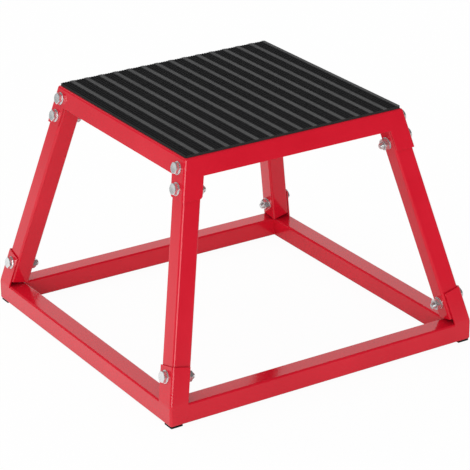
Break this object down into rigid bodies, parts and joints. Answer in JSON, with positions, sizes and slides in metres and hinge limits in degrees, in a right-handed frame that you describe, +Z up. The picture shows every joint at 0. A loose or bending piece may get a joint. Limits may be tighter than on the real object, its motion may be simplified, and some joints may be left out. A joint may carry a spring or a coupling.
{
  "type": "plyometric jump platform",
  "caption": "Low square jump platform: a ribbed rubber mat on a folded steel tray, splayed square-tube legs bolted to a square base frame on rubber feet.",
  "frame": {"origin": "on the floor, under the middle of the platform", "axes": "+Z up, +X to the right along the front edge, +Y from the front edge to the back"},
  "size_m": [0.4366, 0.4366, 0.3055],
  "materials": {
    "red_coat": "semi-gloss powder coat",
    "black_mat": "matt ribbed rubber",
    "black_foot": "matt rubber",
    "zinc": "bright zinc plating"
  },
  "bodies": {
    "root": {"platform_tray": "red_coat", "rubber_mat": "black_mat", "leg_front_left": "red_coat", "leg_front_right": "red_coat", "leg_back_right": "red_coat", "leg_back_left": "red_coat", "base_rail_front": "red_coat", "base_rail_right": "red_coat", "base_rail_back": "red_coat", "base_rail_left": "red_coat", "base_corner_front_left": "red_coat", "base_corner_front_right": "red_coat", "base_corner_back_right": "red_coat", "base_corner_back_left": "red_coat", "foot_front_left": "black_foot", "foot_front_right": "black_foot", "foot_back_right": "black_foot", "foot_back_left": "black_foot", "tray_upper_bolts": "zinc", "tray_upper_head_washers": "zinc", "tray_upper_nut_washers": "zinc", "tray_upper_nuts": "zinc", "tray_lower_bolts": "zinc", "tray_lower_head_washers": "zinc", "tray_lower_nut_washers": "zinc", "tray_lower_nuts": "zinc", "base_bolts": "zinc", "base_head_washers": "zinc", "base_nut_washers": "zinc", "base_nuts": "zinc"}
  },
  "joints": []
}
